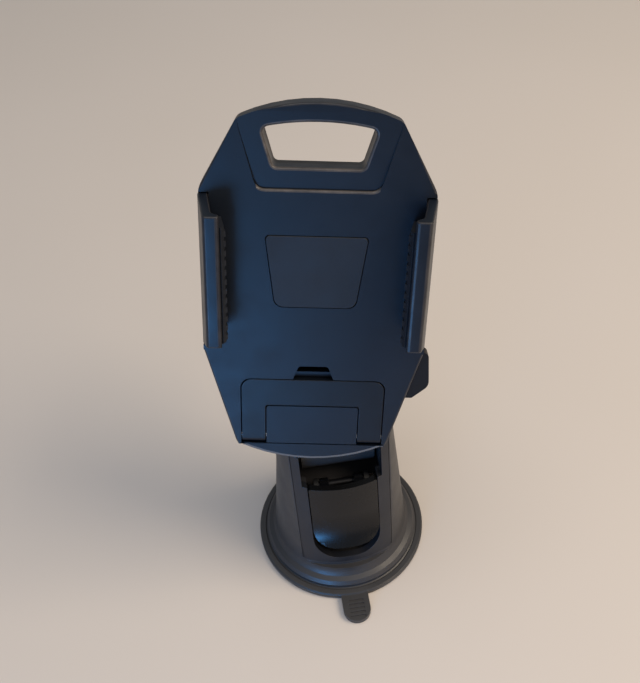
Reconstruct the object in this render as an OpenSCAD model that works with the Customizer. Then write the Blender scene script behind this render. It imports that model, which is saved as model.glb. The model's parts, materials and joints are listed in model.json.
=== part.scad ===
// Car phone mount: suction base with a lever, telescopic arm, ball joint and
// a cradle with two sprung clamps and a fold-down foot.
// Millimetres, +Z up, front of the mount towards -Y.
// The origin is the centre of the suction face.

/* [Suction base] */
// Radius of the suction cup's outer lip
cup_r = 40; // [38:0.5:42]
// Length of the cup's pull tab beyond the lip
tab_len = 12.6; // [8:0.2:16]
// Width of the pull tab
tab_w = 12.4; // [10:0.2:14]
// Height of the arm's pivot over the suction face
pivot_z = 66; // [64:0.5:70]
// Distance of the arm's pivot behind the cup's centre
pivot_y = 5; // [4:0.5:6]

/* [Lever] */
// Half width of the suction lever
lever_hw = 14.8; // [13:0.1:15]
// Lower end of the lever
lever_low = 25.5; // [24:0.5:28]
// Upper end of the lever
lever_top = 62; // [61:0.5:63]

/* [Arm] */
// Distance from the pivot to the arm's head
arm_len = 88; // [86:1:92]
// Lean of the arm behind the vertical
arm_lean = 31; // [28:1:34]
// Radius of the ball
ball_r = 8.5; // [8:0.1:9]

/* [Cradle] */
// Height of the cradle's face
cradle_h = 138; // [134:1:142]
// Lean of the face behind the vertical
cradle_lean = 20; // [10:1:25]
// Turn of the face about the vertical
cradle_turn = -7; // [-10:1:10]
// Roll of the face about its own normal
cradle_roll = 5; // [-10:1:10]
// Depth of the cradle's body
cradle_d = 15; // [14:0.5:17]
// Distance from the face to the ball's centre
ball_back = 33; // [32:0.5:35]

/* [Hidden] */
big = 400;
$fn = 64;

// ---- shared sizes
gap = 0.3;                    // free space between moving faces
slot_hw = 17.3;               // half width of the arm's slot between the cheeks
hub_hw = 16;                  // half width of the arm's hub
hub_r = 12.5;                 // radius of the arm's hub
bolt_r = 3;                   // radius of the pivot bolt
sunk_x = 20.6;                // floor of the sinkings for the bolt's head and nut
sunk_r = 5.6;                 // radius of those sinkings
pin_y = -13.6;                // lever pin, in front of the cup's centre
pin_z = 56.5;                 // lever pin, over the suction face
pin_r = 1.5;                  // radius of the lever pin
rail_x = 11;                  // the stem's two rails, from the middle
stem_top = 34;                // top of the stem's rod, where the rails start
front_tilt = 9.15;            // the base's front leans back by this angle
front_r = 46;                 // radius of the base's bowed front
front_axis_y = 22.6;          // where that radius is centred, at front_axis_z
front_axis_z = 41.5;
cam_r = 5.5;                  // reach of the lever's cams when the cup is drawn up
ledge_z = pin_z - cam_r - gap; // ledge that the cams press down on
stem_travel = 2.5;            // how far the lever draws the cup's middle up
lever_swing = 80;             // how far the lever opens
arm_w = 27;                   // outer tube of the arm, across
arm_d = 17;                   // outer tube of the arm, front to back
arm_wall = 2.8;
tube_end = 52;                // outer tube's end, from the pivot
head_r = 11;                  // radius of the arm's head
head_hw = 7;                  // half width of the arm's head, which leaves the ball room to turn
stud_tilt = 10;               // the stud points up from level by this angle
stud_len = 22;                // from the head's centre to the ball's centre
lock_t = 46;                  // lock knob's distance along the arm

ball_y = pivot_y + arm_len * sin(arm_lean) - stud_len * cos(stud_tilt);
ball_z = pivot_z + arm_len * cos(arm_lean) + stud_len * sin(stud_tilt);

half_h = cradle_h / 2;
face_top = half_h - 1.4;      // middle of the cradle's bowed top
face_hw = 40;                 // half width of the cradle's body
notch_low = -19.5;            // side notches that take the clamps
notch_top = 37.5;
notch_x = 36.5;
shell_split = 7;              // parting line between the shells, from the face
wall = 2.2;
rack_y = 7.4;                 // racks and pinion, from the face
rack_t = 2.6;
pinion_z = 10;
pitch_r = 5;                  // pinion: module 1, ten teeth
teeth = 10;
foot_z = -59.2;               // foot hinge, along the face
foot_y = 2.6;                 // foot hinge, behind the face, and the radius of the foot's rolled end
foot_hw = 26.8;               // half width of the foot
foot_gap_hw = 17.7;           // half width of the foot's cable gap
foot_top = -33.4;
foot_bar_low = -44.5;
pawl_x = 16;
pawl_z = -13;
screw_low_x = 23;              // lower shell screws
button_z = -35;

// ---- outlines
// Corner arc of radius r between the edges a-b and b-c
function unit(v) = v / norm(v);
function corner(a, b, c, r, steps = 6) =
    let(u = unit(a - b), v = unit(c - b),
        half = acos(u * v) / 2,
        mid = b + unit(u + v) * r / sin(half),
        p = b + u * r / tan(half) - mid,
        q = b + v * r / tan(half) - mid,
        turn = 180 - 2 * half,
        side = p[0] * q[1] - p[1] * q[0] > 0 ? 1 : -1)
    [for (i = [0 : steps]) let(t = side * turn * i / steps)
        mid + [p[0] * cos(t) - p[1] * sin(t), p[0] * sin(t) + p[1] * cos(t)]];
// Closed outline with every corner rounded; each point is [x, y, radius]
function rounded(pts, steps = 6) =
    let(n = len(pts))
    [for (i = [0 : n - 1])
        let(a = pts[(i + n - 1) % n], b = pts[i], c = pts[(i + 1) % n])
        each (b[2] > 0
            ? corner([a[0], a[1]], [b[0], b[1]], [c[0], c[1]], b[2], steps)
            : [[b[0], b[1]]])];
// The other half of a shape drawn for x >= 0, from its top down
function both(pts) =
    let(n = len(pts))
    [each pts, for (i = [n - 1 : -1 : 0]) if (pts[i][0] > 0.01)
        [-pts[i][0], pts[i][1], pts[i][2]]];
// Right half of a bow that rises by rise over the middle, from the middle out to half width hw
function bow(hw, top, rise, steps = 5) =
    let(r = (hw * hw + rise * rise) / (2 * abs(rise)), a = asin(hw / r))
    [for (i = [0 : steps]) let(t = a * i / steps)
        [r * sin(t), top - sign(rise) * r * (1 - cos(t)), 0]];
function with_radius(points, r) = [for (i = [0 : len(points) - 1])
    i == len(points) - 1 ? [points[i][0], points[i][1], r] : points[i]];
function reversed(points) = [for (i = [len(points) - 1 : -1 : 0]) points[i]];
function cradle_outline(inset = 0) = rounded(both([
    each with_radius(bow(27 - inset * 0.4, face_top - inset, 5.6), 4),
    [face_hw - inset, 39 - inset * 0.4, 8], [face_hw + 0.3 - inset, -21.2, 3],
    each reversed(with_radius(bow(28.8 - inset * 0.5, inset - half_h, -7), 4))]));
handle_hole = rounded(both([each with_radius(bow(19, 61.2, 2.1), 2), [15.1, 46.2, 2], [0, 46.2, 0]]));

module along_x(h) { rotate([90, 0, 90]) linear_extrude(h, center = true) children(); }
module along_y(y0, y1) {
    translate([0, y1, 0]) rotate([90, 0, 0]) linear_extrude(y1 - y0) children();
}
module rod_x(r, h) { rotate([0, 90, 0]) cylinder(r = r, h = h, center = true); }
module rod_y(r, y0, y1) { translate([0, y1, 0]) rotate([90, 0, 0]) cylinder(r = r, h = y1 - y0); }
module block(x0, x1, y0, y1, z0, z1) {
    translate([x0, y0, z0]) cube([x1 - x0, y1 - y0, z1 - z0]);
}
// Helical spring along z, swept as one solid
function ring_point(r, wire, turns, h, i, steps, j, sides) =
    let(a = 360 * turns * i / steps, b = 360 * j / sides)
    [(r + wire * cos(b)) * cos(a), (r + wire * cos(b)) * sin(a), h * i / steps + wire * sin(b)];
module coil(r, wire, turns, h, sides = 6) {
    steps = round(turns * 14);
    pts = [for (i = [0 : steps]) for (j = [0 : sides - 1])
        ring_point(r, wire, turns, h - 2 * wire, i, steps, j, sides)];
    quads = [for (i = [0 : steps - 1]) for (j = [0 : sides - 1])
        [i * sides + j, i * sides + (j + 1) % sides,
         (i + 1) * sides + (j + 1) % sides, (i + 1) * sides + j]];
    first = [[for (j = [sides - 1 : -1 : 0]) j]];
    last = [[for (j = [0 : sides - 1]) steps * sides + j]];
    translate([0, 0, wire]) polyhedron(points = pts, faces = concat(quads, first, last));
}

// ---- frames
module at_pivot() { translate([0, pivot_y, pivot_z]) children(); }
module at_arm() { at_pivot() rotate([-arm_lean, 0, 0]) children(); }
module at_ball() {
    translate([0, ball_y, ball_z]) rotate([0, 0, cradle_turn])
        rotate([-cradle_lean, 0, 0]) rotate([0, cradle_roll, 0]) children();
}
module at_cradle() { at_ball() translate([0, -ball_back, 0]) children(); }
module bowed(r) {
    translate([0, front_axis_y, front_axis_z]) rotate([-front_tilt, 0, 0])
        cylinder(r = r, h = big, center = true, $fn = 160);
}

// ---- suction base
module suction_cup() {
    color([0.20, 0.19, 0.19]) {
        rotate_extrude($fn = 120) polygon([
            [0, 1.2], [36.4, 1.2], [36.9, 0], [39.2, 0], [cup_r, 0.8], [cup_r, 2.5],
            [39.3, 3.2], [37.2, 3.3], [36.8, 3.0], [36.2, 3.4], [31, 3.4], [30, 3],
            [9, 3], [9, 5.4], [6.4, 5.4], [6.4, 3], [0, 3]]);
        difference() {
            union() {
                block(-tab_w / 2, tab_w / 2, -cup_r - tab_len + tab_w / 2, 2 - cup_r, 0.3, 2.7);
                translate([0, -cup_r - tab_len + tab_w / 2, 0.3]) cylinder(r = tab_w / 2, h = 2.4);
            }
            for (i = [0 : 4])
                block(-3.6, 3.6, -43.2 - 1.9 * i, -42.3 - 1.9 * i, 2.2, 3);
            cylinder(r = cup_r - 1, h = 10, center = true, $fn = 120);
        }
    }
}
module gel_pad() { color([0.75, 0.76, 0.74]) cylinder(r = 36, h = 1.15, $fn = 120); }
module housing_floor() {
    color([0.15, 0.15, 0.16]) difference() {
        intersection() {
            translate([0, 0, 10.6]) cylinder(r = 27.2, h = 2.4, $fn = 96);
            bowed(front_r - 3.2);
        }
        cylinder(r = bolt_r + 0.08, h = 30);
        for (a = [90, 210, 330]) rotate(a) translate([24, 0, 0]) cylinder(r = 1.6, h = 30);
    }
}
module floor_screws() {
    color([0.6, 0.6, 0.62]) for (a = [90, 210, 330]) rotate(a) translate([24, 0, 0]) {
        translate([0, 0, 8.8]) cylinder(r = 2.7, h = 1.8);
        translate([0, 0, 9]) cylinder(r = 1.5, h = 10);
    }
}
// Outside of the tower and its flange, without the lever's and arm's slots
cheek_r = 17.5;
cheek_front_r = 25;           // the cheeks reach further in front of the pivot
function cheek_reach(a) = cheek_r + (cheek_front_r - cheek_r) * (1 - cos(1.5 * max(a - 60, 0))) / 2;
tower_side = [[-60, 0], [60, 0], [60, 20], [28.6, 34],
    for (a = [0 : 10 : 180]) [pivot_y + cheek_reach(a) * cos(a), pivot_z + cheek_reach(a) * sin(a)],
    [-60, pivot_z]];
module tower_solid() {
    intersection() {
        rotate_extrude($fn = 120) polygon([
            [0, 3.5], [36.2, 3.5], [36.2, 5.2], [35, 6.9], [32.9, 7.9], [32.2, 9], [31.4, 10.4],
            [30.9, 14], [30.4, 20], [24.4, 84], [0, 84]]);
        along_x(100) polygon(tower_side);
        union() {
            bowed(front_r);
            cylinder(r = 50, h = 12);
        }
    }
}
// Hollow that holds the stem and its rails
module tower_hollow() {
    intersection() {
        rotate_extrude($fn = 96) polygon([[0, 3], [31.5, 3], [31.5, 6], [27.4, 9], [27.4, 12],
                                          [28, 14], [25, 49.5], [0, 49.5]]);
        bowed(front_r - 3);
    }
}
lever_slot = rounded([[-15.2, 90, 0], [15.2, 90, 0], [15.2, 16.8, 11], [-15.2, 16.8, 11]]);
module arm_slot() {
    block(-slot_hw, slot_hw, -60, 60, lever_top + gap, 120);
    block(-slot_hw, slot_hw, -12, 60, pivot_z - hub_r - 0.6, 120);
}
// Front panel between the two creases, which frames the lever
module cover_zone(hw) {
    difference() {
        block(-hw, hw, -60, 0, 13.5, 84);
        bowed(front_r - 3);
    }
}
module base_housing() {
    color([0.28, 0.28, 0.29]) difference() {
        union() {
            difference() {
                tower_solid();
                tower_hollow();
                block(-15.2, 15.2, -18, -9, 31, 70);
            }
            for (a = [90, 210, 330]) rotate(a) translate([24, 0, 13.1]) cylinder(r = 4.6, h = 10);
            // wall behind the gap under the lever
            block(-24, 24, -16.8, -15.2, 14.4, 31);
            block(-9.7, 9.7, -17, -4, 47, ledge_z);
        }
        for (a = [90, 210, 330]) rotate(a) translate([24, 0, 12]) cylinder(r = 1.5, h = 8);
        arm_slot();
        along_y(-60, -17.2) polygon(lever_slot);
        cover_zone(21);
        at_pivot() rod_x(bolt_r, 80);
        at_pivot() for (s = [-1, 1]) translate([s * (sunk_x + 10), 0, 0]) rod_x(sunk_r, 20);
    }
}
module front_cover() {
    color([0.22, 0.23, 0.25]) difference() {
        intersection() {
            tower_solid();
            cover_zone(20.8);
        }
        bowed(front_r - 3);
        arm_slot();
        along_y(-60, 0) polygon(lever_slot);
        at_pivot() rod_x(hub_r + 5, 2 * slot_hw);
    }
}
module lever_pin() { color([0.7, 0.7, 0.72]) translate([0, pin_y, pin_z]) rod_x(pin_r, 24.6); }
module pivot_bolt() {
    color([0.68, 0.68, 0.7]) at_pivot() {
        rod_x(bolt_r, 2 * sunk_x + 2.6);
        translate([sunk_x + 1.3, 0, 0]) rod_x(4.8, 2.6);
    }
}
module pivot_nut() {
    color([0.6, 0.6, 0.62]) at_pivot() difference() {
        translate([-sunk_x - 2.4, 0, 0]) rotate([0, 90, 0]) cylinder(r = 5, h = 2.4, $fn = 6);
        rod_x(bolt_r, 80);
    }
}
// Round caps that hide the bolt's head and the nut
module pivot_caps() {
    color([0.24, 0.24, 0.25]) at_pivot() for (s = [-1, 1]) translate([s * (sunk_x + 3.1), 0, 0])
        rod_x(sunk_r, 0.9);
}
module friction_washers() {
    color([0.75, 0.75, 0.77]) at_pivot() for (s = [-1, 1]) translate([s * 16.65, 0, 0])
        difference() {
            rod_x(9, 1);
            rod_x(bolt_r + 0.05, 3);
        }
}
// Stem with two rails that carry the lever's pin
module suction_stem() {
    color([0.12, 0.12, 0.13]) difference() {
        union() {
            cylinder_z(6, 5.6, 7.2);
            cylinder_z(3, 7.2, stem_top);
            block(-rail_x - 1, rail_x + 1, -14.9, 3.4, stem_top, stem_top + 2.6);
            for (s = [-1, 1]) {
                block(s * rail_x - 1, s * rail_x + 1, -14.9, -11, stem_top + 2.6, pin_z);
                translate([s * rail_x, pin_y, pin_z]) rod_x(3.2, 2);
            }
        }
        translate([0, pin_y, pin_z]) rod_x(pin_r, 40);
    }
}
module cylinder_z(r, z0, z1) { translate([0, 0, z0]) cylinder(r = r, h = z1 - z0); }
module stem_spring() { color([0.7, 0.7, 0.7]) translate([0, 0, 7.3]) coil(4.6, 0.4, 3, 3.2); }
// Cam under the pin, whose reach falls evenly as the lever opens
cam_rate = stem_travel * 180 / (PI * lever_swing);
cam_eye = 2.9;
function cam_point(a) = let(h = cam_r - stem_travel * a / lever_swing)
    [h * sin(a) - cam_rate * cos(a), -h * cos(a) - cam_rate * sin(a)];
cam_profile = [for (a = [0 : 8 : lever_swing]) cam_point(a),
    for (a = [-25 : 20.5 : 180]) [cam_eye * cos(a), cam_eye * sin(a)]];
module suction_lever() {
    color([0.10, 0.10, 0.11]) difference() {
        union() {
            intersection() {
                difference() {
                    bowed(front_r + 0.5);
                    bowed(front_r - 2.1);
                }
                along_y(-60, -5) polygon(rounded([[-lever_hw, lever_top, 1], [lever_hw, lever_top, 1],
                    [lever_hw, lever_low, 9], [-lever_hw, lever_low, 9]]));
            }
            for (s = [-1, 1]) translate([s * 7.5, pin_y, pin_z]) {
                along_x(4) polygon(cam_profile);
                along_x(4) polygon([[0, -3], [0, 2.6], [-6.2, 3.6], [-7.6, -6]]);
            }
        }
        translate([0, pin_y, pin_z]) rod_x(pin_r + 0.06, 60);
    }
}

// ---- arm
module arm_outer() {
    color([0.24, 0.24, 0.25]) at_arm() difference() {
        union() {
            rod_x(hub_r, 2 * hub_hw);
            linear_extrude(tube_end) polygon(rounded([for (p = [[1, 1], [-1, 1], [-1, -1], [1, -1]])
                [p[0] * arm_w / 2, p[1] * arm_d / 2, 4]]));
        }
        rod_x(bolt_r + 0.05, 60);
        translate([0, 0, 13.5]) linear_extrude(60) polygon(rounded([
            for (p = [[1, 1], [-1, 1], [-1, -1], [1, -1]])
            [p[0] * (arm_w / 2 - arm_wall), p[1] * (arm_d / 2 - arm_wall), 1.5]]));
        translate([0, 5, lock_t]) rotate([-90, 0, 0]) cylinder(r = 2.55, h = 20);
    }
}
module arm_collar() {
    color([0.14, 0.14, 0.15]) at_arm() difference() {
        translate([0, 0, 40]) linear_extrude(13.6) polygon(rounded([
            for (p = [[1, 1], [-1, 1], [-1, -1], [1, -1]])
            [p[0] * (arm_w / 2 + 2.2), p[1] * (arm_d / 2 + 2.2), 6]]));
        translate([0, 0, 39]) linear_extrude(tube_end - 39) polygon(rounded([
            for (p = [[1, 1], [-1, 1], [-1, -1], [1, -1]])
            [p[0] * arm_w / 2, p[1] * arm_d / 2, 4]]));
        translate([0, 0, 50]) linear_extrude(9) polygon(rounded([
            for (p = [[1, 1], [-1, 1], [-1, -1], [1, -1]])
            [p[0] * (arm_w / 2 - arm_wall), p[1] * (arm_d / 2 - arm_wall), 1.5]]));
        translate([0, 5, lock_t]) rotate([-90, 0, 0]) cylinder(r = 2.55, h = 20);
    }
}
module arm_lock_knob() {
    color([0.16, 0.16, 0.17]) at_arm() translate([0, 0, lock_t]) {
        rod_y(2.5, arm_d / 2 - arm_wall + 0.1, 14);
        rod_y(7.4, 11.2, 19.4);
        for (a = [0 : 60 : 300]) rotate([0, a, 0]) translate([7, 0, 0]) rod_y(2, 11.2, 19.4);
    }
}
module arm_inner() {
    color([0.30, 0.30, 0.31]) difference() {
        union() {
            at_arm() translate([0, 0, 14]) linear_extrude(arm_len - 14 - 4) polygon(rounded([
                for (p = [[1, 1], [-1, 1], [-1, -1], [1, -1]])
                [p[0] * (arm_w / 2 - arm_wall - gap), p[1] * (arm_d / 2 - arm_wall - gap), 1.4]]));
            at_arm() translate([0, 0, arm_len]) rod_x(head_r - 1.4, 20);
        }
        at_arm() for (s = [-1, 1]) translate([s * (head_hw + 10), 0, arm_len])
            cube([20, 80, 36], center = true);
        at_ball_stud() translate([0, 0, stud_len - 13]) cylinder(r = 3, h = 14);
    }
}
// Frame with its origin in the ball and its +z towards the arm's head
module at_ball_stud() { translate([0, ball_y, ball_z]) rotate([-90 - stud_tilt, 0, 0]) children(); }
module ball_stud() {
    color([0.62, 0.62, 0.64]) at_ball_stud() {
        sphere(r = ball_r, $fn = 96);
        cylinder(r = 3.2, h = stud_len - 10.5);
        cylinder(r = 3, h = stud_len - 0.5);
    }
}
// Frame with its origin in the ball and its +z along the socket's axis, away from the face
module at_socket() { at_ball() rotate([-90, 0, 0]) children(); }
mouth = 64;                   // half angle of the socket's mouth
liner_in = ball_r + 0.15;
liner_out = ball_r + 1.5;
seat_in = liner_out + 0.15;
function arc_points(r, a0, a1, n = 16) =
    [for (i = [0 : n]) let(a = a0 + (a1 - a0) * i / n) [r * sin(a), r * cos(a)]];
module ball_liner() {
    color([0.8, 0.8, 0.78]) at_socket() difference() {
        sphere(r = liner_out, $fn = 96);
        sphere(r = liner_in, $fn = 96);
        rotate_extrude() polygon([[0, 0], [30 * sin(mouth), 30 * cos(mouth)], [0, 30]]);
    }
}
module seat_ring() {
    color([0.25, 0.25, 0.26]) at_socket() difference() {
        translate([0, 0, -12]) cylinder(r = 11.4, h = 8);
        sphere(r = seat_in, $fn = 96);
        translate([0, 0, -13]) cylinder(r = 4, h = 6);
    }
}
module ball_socket() {
    color([0.22, 0.22, 0.23]) at_socket() difference() {
        union() {
            translate([0, 0, cradle_d - ball_back]) cylinder(r = 20, h = 2.6, $fn = 96);
            translate([0, 0, cradle_d - ball_back]) cylinder(r = 13.6, h = ball_back - cradle_d);
        }
        translate([0, 0, -12.3]) cylinder(r = 11.5, h = 30);
        for (a = [45 : 90 : 315]) rotate(a) translate([17, 0, -30]) cylinder(r = 1.1, h = 30);
    }
}
module lock_nut() {
    color([0.13, 0.13, 0.14]) at_socket() difference() {
        union() {
            translate([0, 0, -13.6]) cylinder(r = 16.2, h = 20.2, $fn = 96);
            for (a = [0 : 30 : 330]) rotate(a) translate([15.9, 0, -12]) cylinder(r = 1.6, h = 16, $fn = 24);
        }
        translate([0, 0, -14]) cylinder(r = 13.65, h = 14.3);
        sphere(r = seat_in, $fn = 96);
        rotate_extrude() polygon([[0, 0], [40 * sin(mouth), 40 * cos(mouth)], [0, 40]]);
    }
}
module socket_screws() {
    color([0.6, 0.6, 0.62]) at_socket() for (a = [45 : 90 : 315]) rotate(a)
        translate([17, 0, cradle_d - ball_back]) {
            translate([0, 0, -4]) cylinder(r = 1.1, h = 6.6);
            translate([0, 0, 2.6]) cylinder(r = 1.5, h = 0.8);
        }
}

// ---- cradle
module notches(x, low, top) {
    for (s = [0, 1]) mirror([s, 0, 0]) block(x, 60, -5, 40, low, top);
}
// Recess round the handle opening
recess = rounded(both([[0, 80, 0], [29.5, 80, 0], [26.4, 59, 3], [20.8, 39, 4], [0, 39, 0]]));
finger_notch = rounded(both([[0, -27.5, 0], [5.4, -27.5, 1.4], [7.6, -33.2, 0], [7.6, -33.9, 0], [0, -33.9, 0]]));
function pad_outline_out(d) = rounded(both([[0, 22.9 + d, 0], [17.8 + d, 22.9 + d, 1.5],
    [14.3 + d, -3.6 - d, 3.5], [0, -3.6 - d, 0]]));
module foot_outline(d = 0) {
    hw = foot_hw + d;
    in = foot_gap_hw - d;
    polygon(rounded([[-hw, foot_z, 0], [-hw, foot_top + d, 4], [hw, foot_top + d, 4], [hw, foot_z, 0],
        [in, foot_z, 0], [in, foot_bar_low - d, 1], [-in, foot_bar_low - d, 1], [-in, foot_z, 0]]));
}
module front_shell() {
    color([0.11, 0.15, 0.21]) at_cradle() difference() {
        union() {
            difference() {
                along_y(0, shell_split) polygon(cradle_outline());
                along_y(wall, shell_split + 1) difference() {
                    polygon(cradle_outline(wall));
                    translate([-60, 41]) square([120, 60]);
                    translate([notch_x - 2.2, notch_low - 2.2])
                        square([20, notch_top - notch_low + 4.4]);
                    translate([-notch_x - 17.8, notch_low - 2.2])
                        square([20, notch_top - notch_low + 4.4]);
                }
            }
            // backing of the pad's and the foot's pockets
            along_y(1, 3.4) polygon(pad_outline_out(2));
            along_y(wall, 5.2) polygon([[-29, -31], [29, -31], [29, -60], [26, -62], [-26, -62], [-29, -60]]);
            for (x = [-29, 29]) translate([x, 0, 36]) rod_y(2.6, 1, shell_split);
            for (x = [-screw_low_x, screw_low_x]) translate([x, 0, -27]) rod_y(2.6, 1, shell_split);
            block(-26.4, 26.4, 1, shell_split, foot_z - 4, foot_z + 2);
        }
        along_y(-1, shell_split + 1) polygon(handle_hole);
        // the recess is deepest at its lower step and runs out at the top
        translate([0, 0.2, 40]) rotate([2.8, 0, 0]) translate([0, 0, -40])
            along_y(-5, 1) polygon(recess);
        along_y(-1, 1.4) polygon(pad_outline_out(0.25));
        along_y(-1, 3.3) foot_outline(0.35);
        for (s = [-1, 1]) translate([s * (foot_hw + foot_gap_hw) / 2, foot_y, foot_z])
            rod_x(foot_y + 0.35, foot_hw - foot_gap_hw + 0.7);
        for (s = [-1, 1]) block(s * 22.25 - 4.9, s * 22.25 + 4.9, -1, foot_y, foot_z - foot_y, foot_z + 5);
        for (s = [-1, 1]) translate([s * 22.25, foot_y, foot_z]) rod_x(1, 14);
        along_y(-1, 2.6) polygon(finger_notch);
        notches(notch_x, notch_low, notch_top);
        for (x = [-29, 29]) translate([x, 0, 36]) rod_y(1, 3, 20);
        for (x = [-screw_low_x, screw_low_x]) translate([x, 0, -27]) rod_y(1, 3, 20);
        block(27.2, 60, 5.6, 20, button_z - 9, button_z + 12.4);
    }
}
module back_shell() {
    color([0.09, 0.10, 0.12]) at_cradle() difference() {
        union() {
            difference() {
                along_y(shell_split, cradle_d) polygon(cradle_outline(0.5));
                along_y(shell_split - 1, cradle_d - wall) difference() {
                    polygon(cradle_outline(2.7));
                    translate([-60, 41]) square([120, 60]);
                    translate([notch_x - 2.2, notch_low - 2.2])
                        square([20, notch_top - notch_low + 4.4]);
                    translate([-notch_x - 17.8, notch_low - 2.2])
                        square([20, notch_top - notch_low + 4.4]);
                }
            }
            block(22.4, 24.4, shell_split, cradle_d - 1, button_z - 8, button_z - 3.2);
            for (x = [-29, 29]) translate([x, 0, 36]) rod_y(3, shell_split, cradle_d - 1);
            for (x = [-screw_low_x, screw_low_x]) translate([x, 0, -27]) rod_y(3, shell_split, cradle_d - 1);
        }
        along_y(0, 20) polygon(handle_hole);
        // thinner grip round the handle
        block(-60, 60, 11, 30, 43, 90);
        notches(notch_x, notch_low, notch_top);
        // windows for the racks
        block(0, 60, rack_y - gap, rack_y + rack_t + gap, pinion_z + 5.6, pinion_z + 14.4);
        block(-60, 0, rack_y - gap, rack_y + rack_t + gap, pinion_z - 14.4, pinion_z - 5.6);
        for (x = [-29, 29]) translate([x, 0, 36]) rod_y(1.1, 6, 20);
        for (x = [-screw_low_x, screw_low_x]) translate([x, 0, -27]) rod_y(1.1, 6, 20);
        for (x = [-29, 29]) translate([x, 0, 36]) rod_y(2.2, cradle_d - 1.8, 20);
        for (x = [-screw_low_x, screw_low_x]) translate([x, 0, -27]) rod_y(2.2, cradle_d - 1.8, 20);
        for (a = [45 : 90 : 315]) translate([17 * cos(a), 0, 17 * sin(a)]) rod_y(1.1, 6, 20);
        translate([0, 0, pinion_z]) rod_y(1.5, 6, cradle_d - wall + 1.4);
        translate([pawl_x, 0, pawl_z]) rod_y(1, 6, cradle_d - wall + 1.4);
        block(27.2, 60, shell_split - 1, 11.4, button_z - 9, button_z + 12.4);
    }
}
module centre_pad() { color([0.15, 0.17, 0.20]) at_cradle() along_y(-0.3, 1.3) polygon(pad_outline_out(0)); }
module shell_screws() {
    color([0.6, 0.6, 0.62]) at_cradle() {
        for (x = [-29, 29]) translate([x, 0, 36]) screw_y(4, cradle_d - 1.8);
        for (x = [-screw_low_x, screw_low_x]) translate([x, 0, -27]) screw_y(4, cradle_d - 1.8);
    }
}
module screw_y(y0, y1) {
    rod_y(1, y0, y1);
    rod_y(2, y1, y1 + 1.4);
}
module foot_flap() {
    color([0.10, 0.12, 0.16]) at_cradle() difference() {
        union() {
            along_y(0, 3) foot_outline();
            for (s = [-1, 1]) translate([s * 22.25, foot_y, foot_z]) rod_x(foot_y, foot_hw - foot_gap_hw);
        }
        along_y(-1, 3.2) translate([0, 0.6]) polygon(finger_notch);
        for (s = [-1, 1]) translate([s * 22.25, foot_y, foot_z]) rod_x(1.06, 30);
    }
}
module foot_pins() {
    color([0.7, 0.7, 0.72]) at_cradle() for (s = [-1, 1])
        translate([s * 22.25, foot_y, foot_z]) rod_x(1, 13.6);
}
// Clamp seen along the face's own up axis, on the right hand side
clamp_section = [[36.9, 3.6], [36.9, 13.4], [39.8, 14.2], [40.8, 12.6], [40.3, 0], [37.2, -14.2],
                 [36.4, -15], [32.6, -15], [31.8, -14.4], [31.8, -13.2], [34.4, -11.8], [36.9, 0]];
module clamp_half() {
    color([0.11, 0.15, 0.21]) difference() {
        translate([0, 0, notch_low + 0.4]) linear_extrude(notch_top - notch_low - 0.8)
            polygon(clamp_section);
        // both ends slant in towards the lip
        translate([0, -15, 33.6]) rotate([12.5, 0, 0]) block(0, 60, -20, 40, 0, 20);
        translate([0, -15, -13.2]) rotate([-20.5, 0, 0]) block(0, 60, -20, 40, -20, 0);
    }
}
module clamp_right() { at_cradle() clamp_half(); }
module clamp_left() { at_cradle() mirror([1, 0, 0]) clamp_half(); }
rib_pitch = 3.4;
module clamp_pad_half() {
    color([0.16, 0.18, 0.21]) {
        translate([0, 0, -12.5]) linear_extrude(42) polygon(
            [[34.3, -11.6], [36.6, -0.6], [32.6, -0.6], [30.5, -10.8], [31.3, -12.8]]);
        for (i = [0 : 11]) translate([0, 0, -11.6 + rib_pitch * i]) linear_extrude(2)
            polygon([[31.3, -12.4], [32.9, -3], [32.0, -3], [30, -10.8]]);
    }
}
module clamp_pad_right() { at_cradle() clamp_pad_half(); }
module clamp_pad_left() { at_cradle() mirror([1, 0, 0]) clamp_pad_half(); }
// Rack above the pinion, its teeth pointing down; x grows towards the clamp
module rack_half() {
    pitch = 2 * PI * pitch_r / teeth;
    translate([0, rack_y + rack_t, pinion_z + pitch_r]) rotate([90, 0, 0]) linear_extrude(rack_t) {
        translate([-17, 1.25]) square([17 + 36.9, 7.4]);
        for (i = [-5 : 2]) translate([(i + 0.5) * pitch, 0])
            polygon([[-1.0, 1.3], [-0.35, -0.8], [0.35, -0.8], [1.0, 1.3]]);
    }
}
module rack_right() { color([0.75, 0.75, 0.72]) at_cradle() rack_half(); }
module rack_left() {
    color([0.75, 0.75, 0.72]) at_cradle() translate([0, 0, pinion_z]) rotate([0, 180, 0])
        translate([0, 0, -pinion_z]) rack_half();
}
module pinion() {
    color([0.8, 0.78, 0.7]) at_cradle() translate([0, rack_y + rack_t, pinion_z]) rotate([90, 0, 0])
        difference() {
            union() {
                cylinder(r = pitch_r - 1.15, h = rack_t);
                for (i = [0 : teeth - 1]) rotate(90 + 360 * i / teeth) linear_extrude(rack_t)
                    polygon([[3.4, -0.95], [5, -0.5], [5.75, -0.22], [5.75, 0.22], [5, 0.5], [3.4, 0.95]]);
            }
            translate([0, 0, -1]) cylinder(r = 1.56, h = 10);
        }
}
module pinion_pin() {
    color([0.7, 0.7, 0.72]) at_cradle() translate([0, 0, pinion_z]) rod_y(1.5, 7, cradle_d - wall + 1.4);
}
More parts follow.
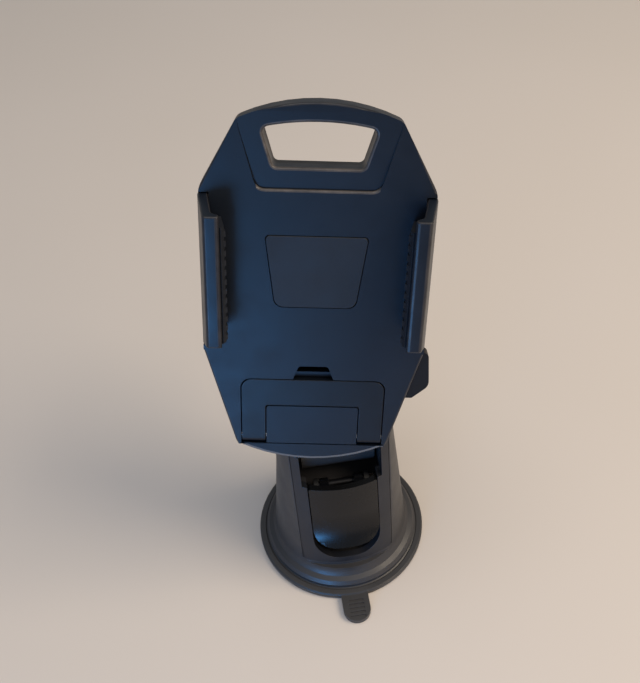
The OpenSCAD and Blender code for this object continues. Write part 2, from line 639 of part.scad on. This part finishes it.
// Flat spiral spring that opens the clamps
module pinion_spring() {
    color([0.65, 0.65, 0.66]) at_cradle() translate([0, 12.4, pinion_z]) rotate([90, 0, 0])
        linear_extrude(1.9) polygon([
            for (i = [0 : 72]) let(a = i * 15, r = 1.53 + i * 0.06) [r * cos(a), r * sin(a)],
            for (i = [72 : -1 : 0]) let(a = i * 15, r = 1.93 + i * 0.06) [r * cos(a), r * sin(a)]]);
}
button_outline = rounded([[38.6, button_z + 11.6, 2], [43.2, button_z + 11.2, 2.4],
                          [44.4, button_z - 3, 4], [38.2, button_z - 8.4, 1], [34, button_z - 8.4, 0],
                          [37.2, button_z + 3, 0]]);
module release_button() {
    color([0.09, 0.10, 0.12]) at_cradle() {
        along_y(6, 11) polygon(button_outline);
        along_y(7.2, 10) polygon([[pawl_x + 1.8, button_z - 2], [36, button_z - 2],
                                  [36, button_z + 2], [pawl_x + 1.8, button_z + 2]]);
        along_y(6.2, 10.8) polygon([[30, button_z - 8], [38.5, button_z - 8],
                                    [38.5, button_z + 3], [30, button_z + 3]]);
    }
}
module button_spring() {
    color([0.7, 0.7, 0.7]) at_cradle() translate([24.5, 8.6, button_z - 5.6]) rotate([0, 90, 0])
        coil(1.4, 0.25, 5, 5.4);
}
module pawl() {
    color([0.75, 0.75, 0.72]) at_cradle() difference() {
        along_y(rack_y, rack_y + rack_t) union() {
            polygon([[pawl_x - 1.6, button_z - 2], [pawl_x + 1.4, button_z - 2],
                     [pawl_x + 2.4, pawl_z], [pawl_x - 2.4, pawl_z]]);
            polygon([[pawl_x - 1, pawl_z + 2.4], [pawl_x - 1, pawl_z - 2.4], [pawl_x + 10, pawl_z + 2],
                     [pawl_x + 12.4, pawl_z + 8.4], [pawl_x + 9.6, pawl_z + 5.2]]);
            translate([pawl_x, pawl_z]) circle(r = 2.6);
        }
        translate([pawl_x, 0, pawl_z]) rod_y(1.05, 0, 20);
    }
}
module pawl_pin() {
    color([0.7, 0.7, 0.72]) at_cradle() translate([pawl_x, 0, pawl_z]) rod_y(1, 7, cradle_d - wall + 1.4);
}

suction_cup();
gel_pad();
housing_floor();
floor_screws();
base_housing();
front_cover();
lever_pin();
pivot_bolt();
pivot_nut();
pivot_caps();
friction_washers();
suction_stem();
stem_spring();
suction_lever();
arm_outer();
arm_collar();
arm_lock_knob();
arm_inner();
ball_stud();
ball_liner();
seat_ring();
ball_socket();
lock_nut();
socket_screws();
back_shell();
front_shell();
centre_pad();
shell_screws();
foot_flap();
foot_pins();
clamp_left();
clamp_right();
clamp_pad_left();
clamp_pad_right();
rack_left();
rack_right();
pinion();
pinion_pin();
pinion_spring();
release_button();
button_spring();
pawl();
pawl_pin();
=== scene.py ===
import json
from math import cos, radians, sin

import bmesh
import bpy
from mathutils import Matrix, Vector


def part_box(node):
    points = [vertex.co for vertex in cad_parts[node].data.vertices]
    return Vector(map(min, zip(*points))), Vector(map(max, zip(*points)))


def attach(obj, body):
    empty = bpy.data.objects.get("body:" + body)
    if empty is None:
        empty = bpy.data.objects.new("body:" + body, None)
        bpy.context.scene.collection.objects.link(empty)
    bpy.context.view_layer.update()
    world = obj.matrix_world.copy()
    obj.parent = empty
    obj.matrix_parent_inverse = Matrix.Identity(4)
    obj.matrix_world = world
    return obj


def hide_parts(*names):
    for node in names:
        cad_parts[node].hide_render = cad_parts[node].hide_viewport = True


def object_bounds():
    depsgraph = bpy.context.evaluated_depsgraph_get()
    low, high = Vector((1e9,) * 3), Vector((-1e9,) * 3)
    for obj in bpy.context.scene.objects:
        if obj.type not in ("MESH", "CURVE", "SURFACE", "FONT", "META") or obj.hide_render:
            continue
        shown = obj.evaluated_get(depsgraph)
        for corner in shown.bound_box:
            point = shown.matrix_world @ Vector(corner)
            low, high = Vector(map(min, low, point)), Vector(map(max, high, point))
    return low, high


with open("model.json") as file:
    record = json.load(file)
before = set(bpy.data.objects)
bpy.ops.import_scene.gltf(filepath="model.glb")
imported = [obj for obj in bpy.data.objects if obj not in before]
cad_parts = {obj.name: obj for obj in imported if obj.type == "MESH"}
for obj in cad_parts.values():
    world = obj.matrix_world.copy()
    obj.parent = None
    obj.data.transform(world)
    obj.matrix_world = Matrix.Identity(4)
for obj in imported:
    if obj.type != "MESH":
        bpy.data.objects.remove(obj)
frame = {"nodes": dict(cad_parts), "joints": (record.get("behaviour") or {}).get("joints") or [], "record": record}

cad_box = [list(corner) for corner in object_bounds()]
MM = 0.001
nodes = frame["nodes"]
record = frame["record"]
joints = {j["name"]: j for j in frame["joints"]}
mounts = {m["name"]: m for m in record["mounts"]}
body_of_node = {n: b for b, members in record["behaviour"]["bodies"].items() for n in members}
slot_of_node = {s["node"]: s["material_slot"] for s in record["subparts"]}

# ---- the cradle's own frame: x to the right, y into the body, z up the face
ex = Vector(joints["foot_fold"]["axis"])
ey = Vector(joints["cradle_spin"]["axis"])
ez = Vector(joints["ball_yaw"]["axis"])
pad_proud = 0.3 * MM
mount_height = 10 * MM
face = Vector(mounts["phone_face"]["pos_m"]) + ey * pad_proud - ez * mount_height
CRADLE = Matrix((
    (ex.x, ey.x, ez.x, face.x),
    (ex.y, ey.y, ez.y, face.y),
    (ex.z, ey.z, ez.z, face.z),
    (0, 0, 0, 1)))
EDGE = "rounded_edge"           # face attribute: how strongly a face takes its edge colour, which is worn colour on most plastics and painted highlight on the cradle
WEAR_AND_HIGHLIGHT = (0, 0.3, 1, 2.5)         # of flat faces, of rounded edges, of rims with painted highlight and of the bottom lip's painted highlight
ROUNDED, HIGHLIGHT_EDGE, HIGHLIGHT_LIP = 1, 2, 3 # places in the levels above
CORNER = radians(24)            # edges sharper than this are the ones that moulded() rounds
HARD = radians(50)              # edges sharper than this stay hard in the shading
ON_FACE = 0.05 * MM             # how near to the face an edge has to lie to count as on it
WELD = 0.002 * MM               # points nearer than this are one
NEAR_CUT = 0.001 * MM           # points nearer than this to a cut are on it
FLATNESS = radians(0.4)         # faces that meet at less than this are one
EDGE_NOISE_SIZE = 5 * MM               # grain of the noise over the edges' worn colour and painted highlight
PATCH_SIZE = 22 * MM            # of the patches of colour
SMUDGE_SIZE = 9 * MM            # of the patches of gloss
STREAK_SIZE = 6 * MM            # of the lines in steel


# ---- materials
def shader(name, colour, roughness, **sockets):
    """A new material with its main sockets set, as (material, node tree, shader node)."""
    material = bpy.data.materials.new(name)
    material.use_nodes = True
    tree = material.node_tree
    bsdf = tree.nodes["Principled BSDF"]
    bsdf.inputs["Base Color"].default_value = (*colour, 1)
    bsdf.inputs["Roughness"].default_value = roughness
    for socket, value in sockets.items():
        bsdf.inputs[socket.replace("_", " ")].default_value = value
    return material, tree, bsdf


def noise(tree, size, detail=2.0, stretch=(1, 1, 1)):
    """Noise whose grains are about size metres across, fixed to the piece."""
    place = tree.nodes.new("ShaderNodeTexCoord")
    mapping = tree.nodes.new("ShaderNodeMapping")
    mapping.inputs["Scale"].default_value = stretch
    texture = tree.nodes.new("ShaderNodeTexNoise")
    texture.inputs["Scale"].default_value = 1 / size
    texture.inputs["Detail"].default_value = detail
    tree.links.new(place.outputs["Object"], mapping.inputs["Vector"])
    tree.links.new(mapping.outputs["Vector"], texture.inputs["Vector"])
    return texture.outputs["Fac"]


def remap(tree, value, low, high, from_low=0.3, from_high=0.7):
    node = tree.nodes.new("ShaderNodeMapRange")
    node.inputs["From Min"].default_value = from_low
    node.inputs["From Max"].default_value = from_high
    node.inputs["To Min"].default_value = low
    node.inputs["To Max"].default_value = high
    tree.links.new(value, node.inputs["Value"])
    return node.outputs["Result"]


def colour_mix(tree, factor, first, second):
    """second over first; first is a colour or the socket of one."""
    node = tree.nodes.new("ShaderNodeMix")
    node.data_type = "RGBA"
    tree.links.new(factor, node.inputs["Factor"])
    if isinstance(first, bpy.types.NodeSocket):
        tree.links.new(first, node.inputs["A"])
    else:
        node.inputs["A"].default_value = (*first, 1)
    node.inputs["B"].default_value = (*second, 1)
    return node.outputs["Result"]


def grain(tree, bsdf, size, depth, detail=2.0, stretch=(1, 1, 1)):
    """Bump of the given grain size and depth, in metres."""
    bump = tree.nodes.new("ShaderNodeBump")
    bump.inputs["Strength"].default_value = 1.0
    bump.inputs["Distance"].default_value = depth
    tree.links.new(noise(tree, size, detail, stretch), bump.inputs["Height"])
    tree.links.new(bump.outputs["Normal"], bsdf.inputs["Normal"])


def wear_and_highlight_level(tree):
    """How strongly each face takes the edge colour, worn colour and painted highlight, from its face attribute."""
    attribute = tree.nodes.new("ShaderNodeAttribute")
    attribute.attribute_name = EDGE
    return attribute.outputs["Fac"]


def worn_and_lit_edges(tree):
    """The level of worn colour and painted highlight on the rounded edges, broken up by noise, and 0 elsewhere."""
    broken = remap(tree, noise(tree, EDGE_NOISE_SIZE, 3), 0.35, 1.0)
    product = tree.nodes.new("ShaderNodeMath")
    product.operation = "MULTIPLY"
    tree.links.new(wear_and_highlight_level(tree), product.inputs[0])
    tree.links.new(broken, product.inputs[1])
    return product.outputs["Value"]


def plastic(name, colour, roughness, grain_size=0.5 * MM, grain_depth=0.012 * MM, spread=0.05,
            patch=1.12, polish=0.10, wear_and_highlight_colour=None, lip=None, **sockets):
    """Moulded plastic: fine grain, faint patches of colour and of gloss, and edges worn a little shiny and
    lighter.

    The rounded edges take the edge colour, which by default is a lighter worn tone and, where one is given, is
    painted highlight; the bottom lip takes the lip colour, a painted highlight, where one is given."""
    material, tree, bsdf = shader(name, colour, roughness, **sockets)
    edges = worn_and_lit_edges(tree)
    patches = noise(tree, PATCH_SIZE, 3)
    lighter = [min(1, c * patch) for c in colour]
    darker = [c / patch for c in colour]
    body = colour_mix(tree, remap(tree, patches, 0, 1), darker, lighter)
    # edge colour: one given here is painted highlight, the default is a lighter worn tone
    worn_and_lit = wear_and_highlight_colour or [min(1, c * 1.5 + 0.004) for c in colour]
    blend = colour_mix(tree, edges, body, worn_and_lit)
    # painted highlight: a light band on the faces at the bottom lip's level
    if lip:
        blend = colour_mix(tree, remap(tree, wear_and_highlight_level(tree), 0, 1, WEAR_AND_HIGHLIGHT[HIGHLIGHT_EDGE], WEAR_AND_HIGHLIGHT[HIGHLIGHT_LIP]), blend, lip)
    tree.links.new(blend, bsdf.inputs["Base Color"])
    smudges = remap(tree, noise(tree, SMUDGE_SIZE, 4), roughness - spread, roughness + spread)
    polished = tree.nodes.new("ShaderNodeMath")
    polished.operation = "MULTIPLY_ADD"
    polished.inputs[1].default_value = -polish
    tree.links.new(edges, polished.inputs[0])
    tree.links.new(smudges, polished.inputs[2])
    tree.links.new(polished.outputs["Value"], bsdf.inputs["Roughness"])
    grain(tree, bsdf, grain_size, grain_depth)
    return material


def steel(name, colour, roughness, lines=(1, 1, 30)):
    """Drawn or turned steel with fine lines."""
    material, tree, bsdf = shader(name, colour, roughness, Metallic=1.0)
    streaks = noise(tree, STREAK_SIZE, 3, lines)
    tree.links.new(remap(tree, streaks, roughness - 0.08, roughness + 0.12), bsdf.inputs["Roughness"])
    shade = [c * 0.82 for c in colour]
    tree.links.new(colour_mix(tree, remap(tree, streaks, 0, 1), shade, colour), bsdf.inputs["Base Color"])
    grain(tree, bsdf, 0.8 * MM, 0.004 * MM, 2, lines)
    return material


MATERIALS = {
    "cup_rubber": plastic("cup_rubber", (0.031, 0.030, 0.031), 0.42, 0.9 * MM, 0.010 * MM),
    "gel": plastic("gel", (0.50, 0.52, 0.49), 0.25, 2 * MM, 0.01 * MM),
    "inner_plastic": plastic("inner_plastic", (0.010, 0.010, 0.011), 0.5),
    "base_plastic": plastic("base_plastic", (0.030, 0.029, 0.031), 0.45, 0.35 * MM, 0.012 * MM),
    "front_plastic": plastic("front_plastic", (0.013, 0.014, 0.018), 0.40, 0.35 * MM, 0.012 * MM,
                             Specular_IOR_Level=0.40),
    "lever_gloss": plastic("lever_gloss", (0.003, 0.003, 0.0035), 0.27, 3 * MM, 0.002 * MM, 0.03, polish=0.04,
                           Specular_IOR_Level=0.34),
    # painted shade: steel drawn dark for the lever pin, which sits in the shaded recess above the lever
    "painted_shade_steel": steel("painted_shade_steel", (0.05, 0.05, 0.055), 0.45, (30, 1, 1)),
    "knob_plastic": plastic("knob_plastic", (0.020, 0.020, 0.022), 0.5, 0.4 * MM, 0.016 * MM),
    "arm_plastic": plastic("arm_plastic", (0.036, 0.036, 0.038), 0.45, 0.35 * MM, 0.014 * MM),
    # painted reflection: the navy tint in this near-black base colour stands in for a blue sheen on the cradle's
    # face
    "cradle_plastic": plastic("cradle_plastic", (0.0045, 0.0075, 0.014), 0.40, 0.35 * MM, 0.010 * MM,
                              # painted highlight: the warm grey here lightens the cradle's rounded edges, the
                              # handle's rim and the recess's step, and the light grey after it is a light band
                              # along the bottom edge
                              wear_and_highlight_colour=(0.090, 0.078, 0.071), lip=(0.125, 0.125, 0.130), Specular_IOR_Level=0.32),
    "button_plastic": plastic("button_plastic", (0.007, 0.0055, 0.0055), 0.42, 0.4 * MM, 0.010 * MM,
                              Specular_IOR_Level=0.25),
    # painted reflection: the navy tint in this near-black base colour stands in for a blue sheen on the foot
    "foot_plastic": plastic("foot_plastic", (0.004, 0.006, 0.010), 0.36, 0.35 * MM, 0.010 * MM,
                            Specular_IOR_Level=0.30),
    "back_plastic": plastic("back_plastic", (0.016, 0.015, 0.015), 0.48, 0.4 * MM, 0.016 * MM,
                            Specular_IOR_Level=0.34),
    "pad_rubber": plastic("pad_rubber", (0.010, 0.012, 0.017), 0.55, 0.5 * MM, 0.02 * MM,
                          Specular_IOR_Level=0.36),
    "nylon": plastic("nylon", (0.72, 0.70, 0.62), 0.4),
    "pin_steel": steel("pin_steel", (0.62, 0.62, 0.64), 0.28, (30, 1, 1)),
    "screw_steel": steel("screw_steel", (0.50, 0.50, 0.52), 0.35),
    "spring_steel": steel("spring_steel", (0.52, 0.52, 0.54), 0.3),
}


def paint(obj, slot):
    obj.data.materials.clear()
    obj.data.materials.append(MATERIALS[slot])


# ---- pieces
def settle(piece, node):
    """The piece rides where the CAD node does and stands for it."""
    slot = slot_of_node[node]
    paint(piece, slot)
    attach(piece, body_of_node[node])
    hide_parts(node)
    return piece


def applied(obj):
    """The piece with its modifiers worked into its mesh."""
    graph = bpy.context.evaluated_depsgraph_get()
    mesh = bpy.data.meshes.new_from_object(obj.evaluated_get(graph))
    obj.modifiers.clear()
    obj.data = mesh
    return obj


def weighted(obj):
    """Shading that follows the larger faces, with the hard edges kept."""
    normals = obj.modifiers.new("weighted", "WEIGHTED_NORMAL")
    normals.keep_sharp = True
    return applied(obj)


def shaded(obj):
    """Modifiers applied, smooth shading, and each face's level of worn colour and painted highlight taken from its
    material's place in the levels list.
    """
    mesh = applied(obj).data
    edge = mesh.attributes.new(EDGE, "FLOAT", "FACE")
    for polygon in mesh.polygons:
        polygon.use_smooth = True
        edge.data[polygon.index].value = WEAR_AND_HIGHLIGHT[polygon.material_index]
        polygon.material_index = 0
    bm = bmesh.new()
    bm.from_mesh(mesh)
    for e in bm.edges:
        if len(e.link_faces) == 2:
            e.smooth = e.calc_face_angle() < HARD
    bm.to_mesh(mesh)
    bm.free()
    return weighted(obj)


def corner_edges(bm):
    return [e for e in bm.edges if len(e.link_faces) == 2 and e.calc_face_angle() > CORNER]


def moulded(node, radius, rims=()):
    """The CAD node's form with its edges rounded by radius.

    Each of rims is (width, level, test): the edges whose middle passes the test are rounded first, by
    that width, and level is their place in the list of worn colour and painted highlight levels. With a radius of
    0 the other edges stay sharp."""
    mesh = nodes[node].data.copy()
    mesh.materials.clear()
    for _ in WEAR_AND_HIGHLIGHT:
        mesh.materials.append(MATERIALS[slot_of_node[node]])
    bm = bmesh.new()
    bm.from_mesh(mesh)
    bmesh.ops.remove_doubles(bm, verts=bm.verts, dist=WELD)
    bmesh.ops.dissolve_limit(bm, angle_limit=FLATNESS, verts=bm.verts, edges=bm.edges)
    for width, rim_wear_and_highlight, test in rims:
        chosen = [e for e in corner_edges(bm) if test((e.verts[0].co + e.verts[1].co) / 2)]
        bmesh.ops.bevel(bm, geom=chosen, offset=width, offset_type="OFFSET", segments=4, profile=0.5,
                        affect="EDGES", clamp_overlap=False, material=rim_wear_and_highlight)
    weight = bm.edges.layers.float.new("bevel_weight_edge")
    for e in corner_edges(bm):
        e[weight] = 1
    bm.to_mesh(mesh)
    bm.free()
    obj = bpy.data.objects.new(node + "_moulded", mesh)
    bpy.context.scene.collection.objects.link(obj)
    if radius > 0:
        bevel = obj.modifiers.new("edges", "BEVEL")
        bevel.width = radius
        bevel.segments = 2
        bevel.limit_method = "WEIGHT"
        bevel.use_clamp_overlap = True
        bevel.material = ROUNDED
        bevel.miter_outer = "MITER_ARC"
    return shaded(obj)


def reshaped(obj, levels, move):
    """The piece with each point moved by move(point), after cuts across it at these heights let it bend."""
    mesh = obj.data
    bm = bmesh.new()
    bm.from_mesh(mesh)
    for height in levels:
        geometry = bm.verts[:] + bm.edges[:] + bm.faces[:]
        bmesh.ops.bisect_plane(bm, geom=geometry, dist=NEAR_CUT,
                               plane_co=(0, 0, height), plane_no=(0, 0, 1))
    for v in bm.verts:
        v.co += move(v.co)
    bm.to_mesh(mesh)
    bm.free()
    return weighted(obj)


for cad_node, obj in nodes.items():
    paint(obj, slot_of_node[cad_node])
paint(nodes["lever_pin"], "painted_shade_steel")    # painted shade: dark steel for the pin in the shaded recess, darker than its slot's own material


def in_cradle(point):
    return CRADLE.inverted() @ point


# the front shell's edges at the face, as heights and half widths in the cradle's frame
CROWN_TOP = 66.9 * MM           # a line just under the bowed top, and its fall at the top's ends
CROWN_FALL = 5.6 * MM
CROWN_HALF = 27 * MM
CROWN_BAND = 0.6 * MM           # how far below that line an edge still counts as the top's
RECESS_OUT = 17 * MM            # half width of the crown that the recess doesn't reach
SLANT_INNER = 28.5 * MM         # the slanted sides lie beyond this half width and this half height
SLANT_HEIGHT = 39 * MM
BOTTOM_TOP = -62.4 * MM         # the bowed bottom lies below this
HOLE_HALF = 20 * MM             # the handle's hole lies within these
HOLE_DEPTH = 2 * MM
HOLE_LOW, HOLE_HIGH = 45 * MM, 61.6 * MM
STEP_HALF = 20.5 * MM           # the recess's lower step lies within these
STEP_LOW, STEP_HIGH = 38 * MM, 43 * MM


def outer_rim(middle):
    """The bowed top and the slanted sides, but not where the recess runs out at the top's ends."""
    p = in_cradle(middle)
    crown = CROWN_TOP - CROWN_FALL * (p.x / CROWN_HALF) ** 2
    top_edge = p.z > crown - CROWN_BAND and abs(p.x) < RECESS_OUT
    slanted = abs(p.x) > SLANT_INNER and abs(p.z) > SLANT_HEIGHT
    return abs(p.y) < ON_FACE and (top_edge or slanted) and p.z > BOTTOM_TOP


def bottom_rim(middle):
    p = in_cradle(middle)
    return abs(p.y) < ON_FACE and p.z < BOTTOM_TOP


def handle_rim(middle):
    p = in_cradle(middle)
    return abs(p.y) < HOLE_DEPTH and abs(p.x) < HOLE_HALF and HOLE_LOW < p.z < HOLE_HIGH


def recess_step(middle):
    p = in_cradle(middle)
    return abs(p.y) < ON_FACE and abs(p.x) < STEP_HALF and STEP_LOW < p.z < STEP_HIGH


def settle_all(radii):
    """Each of these CAD nodes rounded by its radius, in millimetres."""
    for node, radius in radii.items():
        settle(moulded(node, radius * MM), node)


# painted highlight: the bottom rim gets the light band, the handle's rim and the recess's step a warm grey, and
# the outer rim the same warm grey more faintly
shell_rims = (
    (0.8 * MM, ROUNDED, outer_rim),
    (1.6 * MM, HIGHLIGHT_LIP, bottom_rim),
    (1.0 * MM, HIGHLIGHT_EDGE, handle_rim),
    (0.85 * MM, HIGHLIGHT_EDGE, recess_step))
settle(moulded("front_shell", 0, shell_rims), "front_shell")
settle_all({"back_shell": 0.6, "centre_pad": 0.25, "foot_flap": 0.35})
for side in ("left", "right"):
    settle_all({"clamp_" + side: 0.7, "clamp_pad_" + side: 0.3})
button = settle(moulded("release_button", 0.5 * MM), "release_button")
paint(button, "button_plastic")
settle_all({"base_housing": 0.5, "front_cover": 0.4})

# the lever's free end flares out into a lip for the finger, with a gap under it
lever_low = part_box("suction_lever")[0].z
flare_cuts = 12
flare_height = 20 * MM
flare_reach = 4.0 * MM
flare_lift = 5.0 * MM


def lever_flare(point):
    share = max(0, 1 - (point.z - lever_low) / flare_height)
    return Vector((0, -flare_reach, flare_lift)) * share * share


lever = moulded("suction_lever", 0.6 * MM)
cuts = [lever_low + flare_height * i / flare_cuts for i in range(1, flare_cuts + 1)]
reshaped(lever, cuts, lever_flare)
settle(lever, "suction_lever")
settle_all({"suction_cup": 0.3, "lock_nut": 0.5, "arm_outer": 0.5, "arm_collar": 0.5, "arm_lock_knob": 0.6,
            "ball_socket": 0.5})


# ---- floor, lights and camera
def make_floor():
    half_width = 3.0
    gap = 0.05 * MM
    bm = bmesh.new()
    bmesh.ops.create_grid(bm, x_segments=8, y_segments=8, size=half_width)
    mesh = bpy.data.meshes.new("floor")
    bm.to_mesh(mesh)
    bm.free()
    floor = bpy.data.objects.new("floor", mesh)
    floor.location = (0, 0, cad_box[0][2] - gap)
    bpy.context.scene.collection.objects.link(floor)
    material, tree, bsdf = shader("floor_paint", (0.63, 0.575, 0.525), 0.55)
    patches = noise(tree, 0.35, 2)
    mixed = colour_mix(tree, remap(tree, patches, 0, 1), (0.62, 0.565, 0.515), (0.64, 0.585, 0.54))
    tree.links.new(mixed, bsdf.inputs["Base Color"])
    grain(tree, bsdf, 3 * MM, 0.01 * MM)
    mesh.materials.append(material)


def area_light(name, place, aim, width, height, watts, colour):
    """A soft lamp of this size in metres, at place and turned towards aim."""
    data = bpy.data.lights.new(name, "AREA")
    data.shape = "RECTANGLE"
    data.size = width
    data.size_y = height
    data.energy = watts
    data.color = colour
    light = bpy.data.objects.new(name, data)
    light.location = place
    light.rotation_euler = (Vector(aim) - Vector(place)).to_track_quat("-Z", "Y").to_euler()
    bpy.context.scene.collection.objects.link(light)


def make_camera():
    """Looks down on the front of the mount, from a little to its left."""
    turn, rise, roll = radians(-4.87), radians(46.46), radians(-4.61)
    aim = Vector((-3.16, 0, 131.95)) * MM
    distance = 302.7 * MM
    away = Vector((sin(turn) * cos(rise), -cos(turn) * cos(rise), sin(rise)))
    right = (-away).cross(Vector((0, 0, 1))).normalized()
    up = right.cross(-away)
    x_axis = right * cos(roll) + up * sin(roll)
    y_axis = up * cos(roll) - right * sin(roll)
    data = bpy.data.cameras.new("camera")
    data.sensor_width = 36
    data.lens = 42.17
    data.clip_start = 0.01
    camera = bpy.data.objects.new("camera", data)
    place = aim + away * distance
    camera.matrix_world = Matrix((
        (x_axis.x, y_axis.x, away.x, place.x),
        (x_axis.y, y_axis.y, away.y, place.y),
        (x_axis.z, y_axis.z, away.z, place.z),
        (0, 0, 0, 1)))
    bpy.context.scene.collection.objects.link(camera)
    bpy.context.scene.camera = camera


make_floor()
# a warm window on the right, a soft ceiling, two cool lamps low in front on the left and a weak warm one
# in front on the right
area_light("key", (1.10, -0.35, 1.25), (0, 0, 0.08), 0.9, 0.9, 19, (1.0, 0.84, 0.65))
area_light("ceiling", (-0.15, -0.1, 2.0), (0, 0, 0), 1.3, 1.1, 12, (1.0, 0.95, 0.93))
area_light("cool", (-0.50, -0.82, 0.13), (-0.01, 0, 0.12), 0.42, 0.22, 3.4, (0.12, 0.44, 1.0))
area_light("cool_low", (-0.22, -0.46, 0.05), (-0.03, 0, 0.13), 0.22, 0.07, 0.45, (0.10, 0.42, 1.0))
area_light("low_warm", (0.55, -0.62, 0.30), (0, 0, 0.05), 0.25, 0.2, 0.9, (1.0, 0.78, 0.55))
world = bpy.data.worlds.new("studio")
world.use_nodes = True
world.node_tree.nodes["Background"].inputs["Color"].default_value = (0.86, 0.93, 1.0, 1)
world.node_tree.nodes["Background"].inputs["Strength"].default_value = 0.27
bpy.context.scene.world = world
bpy.context.scene.view_settings.view_transform = "Standard"
make_camera()
